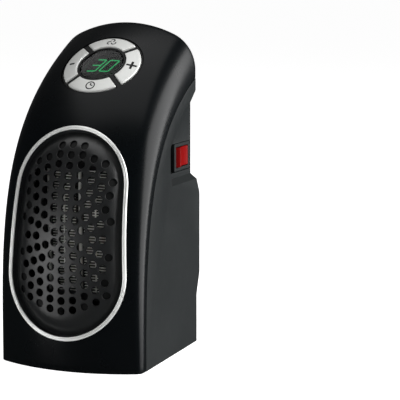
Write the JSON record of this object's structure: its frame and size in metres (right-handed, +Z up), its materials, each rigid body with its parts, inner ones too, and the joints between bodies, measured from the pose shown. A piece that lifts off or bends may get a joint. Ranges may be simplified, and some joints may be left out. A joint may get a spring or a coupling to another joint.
{
  "type": "plug-in fan heater",
  "caption": "Compact plug-in fan heater with a perforated front grille, a round keypad, a side rocker switch and a turning two-pin wall plug.",
  "frame": {"origin": "under the middle of the base, on the surface it stands on", "axes": "+Z up, the grille and keypad towards -Y, the plug towards +Y, the rocker switch on +X"},
  "size_m": [0.0804, 0.1235, 0.1745],
  "materials": {
    "shell_black": "satin black moulding with a soft sheen",
    "housing_grey": "fine-grained charcoal moulding",
    "grille_black": "black moulding, semi-matt",
    "inner_plastic": "plain heat-proof moulding",
    "chrome": "bright plated plastic",
    "key_silver": "silver paint on plastic",
    "window_smoke": "smoked polished window",
    "rocker_red": "polished red plastic",
    "pin_nickel": "nickel plate on brass",
    "collar_white": "plain white moulding",
    "steel": "zinc-plated steel",
    "aluminium": "bare aluminium",
    "brass": "bare brass",
    "board_green": "green solder mask",
    "component_blue": "blue moulding",
    "frame_cream": "cream mineral-filled moulding",
    "lead_white": "white wire sleeve"
  },
  "bodies": {
    "housing": {"front_shell": "shell_black", "side_housing": "housing_grey", "back_cover": "housing_grey", "trim_ring": "chrome", "front_grille": "grille_black", "panel_bezel": "grille_black", "display_window": "window_smoke", "control_board": "board_green", "plus_key_switch": "steel", "speed_key_switch": "steel", "minus_key_switch": "steel", "timer_key_switch": "steel", "display_module": "inner_plastic", "switch_body": "housing_grey", "switch_terminal_1": "brass", "switch_terminal_2": "brass", "contact_blade_outer": "brass", "contact_blade_inner": "brass", "release_spring": "steel", "upper_screw_left": "steel", "lower_screw_left": "steel", "upper_screw_right": "steel", "lower_screw_right": "steel", "fan_shroud": "inner_plastic", "fan_motor": "steel", "fan_duct": "inner_plastic", "heater_frame": "inner_plastic", "ptc_bar_left": "aluminium", "ptc_bar_centre": "aluminium", "ptc_bar_right": "aluminium", "fin_pack_left": "aluminium", "fin_pack_right": "aluminium", "thermal_cutout": "steel", "power_board": "board_green", "relay": "component_blue", "capacitor": "frame_cream", "live_lead": "lead_white", "neutral_lead": "lead_white", "heater_lead_left": "lead_white", "heater_lead_right": "lead_white", "motor_lead": "lead_white"},
    "fan_rotor": {"fan_impeller": "inner_plastic", "motor_shaft": "steel"},
    "speed_key": {"speed_key": "key_silver"},
    "plus_key": {"plus_key": "key_silver"},
    "timer_key": {"timer_key": "key_silver"},
    "minus_key": {"minus_key": "key_silver"},
    "rocker": {"switch_rocker": "rocker_red"},
    "plug": {"plug_body": "grille_black", "plug_pin_left": "pin_nickel", "plug_pin_right": "pin_nickel", "pin_collar_left": "collar_white", "pin_collar_right": "collar_white", "plug_retainer": "inner_plastic", "slip_ring_outer": "brass", "slip_ring_inner": "brass"},
    "release": {"release_button": "grille_black"}
  },
  "joints": [
    {"name": "fan_spin", "type": "hinge", "parent": "housing", "child": "fan_rotor", "pos_m": [0, 0.0066, 0.064], "axis": [0, 1, 0], "continuous": true},
    {"name": "speed_key_press", "type": "slide", "parent": "housing", "child": "speed_key", "axis": [0, 0.6098, -0.7925], "range_m": [0, 0.0008], "stiffness_N_per_m": 300, "springref_m": -0.0003},
    {"name": "plus_key_press", "type": "slide", "parent": "housing", "child": "plus_key", "axis": [0, 0.6098, -0.7925], "range_m": [0, 0.0008], "stiffness_N_per_m": 300, "springref_m": -0.0003},
    {"name": "timer_key_press", "type": "slide", "parent": "housing", "child": "timer_key", "axis": [0, 0.6098, -0.7925], "range_m": [0, 0.0008], "stiffness_N_per_m": 300, "springref_m": -0.0003},
    {"name": "minus_key_press", "type": "slide", "parent": "housing", "child": "minus_key", "axis": [0, 0.6098, -0.7925], "range_m": [0, 0.0008], "stiffness_N_per_m": 300, "springref_m": -0.0003},
    {"name": "rocker_tilt", "type": "hinge", "parent": "housing", "child": "rocker", "pos_m": [0.03365, 0.02915, 0.104], "axis": [0, 0, 1], "range_deg": [-14, 0]},
    {"name": "plug_turn", "type": "hinge", "parent": "housing", "child": "plug", "pos_m": [0, 0.04085, 0.117], "axis": [0, 1, 0], "range_deg": [-90, 90]},
    {"name": "release_press", "type": "slide", "parent": "housing", "child": "release", "axis": [1, 0, 0], "range_m": [0, 0.0014], "stiffness_N_per_m": 400, "springref_m": -0.0005, "deforming": ["release_spring"]}
  ]
}
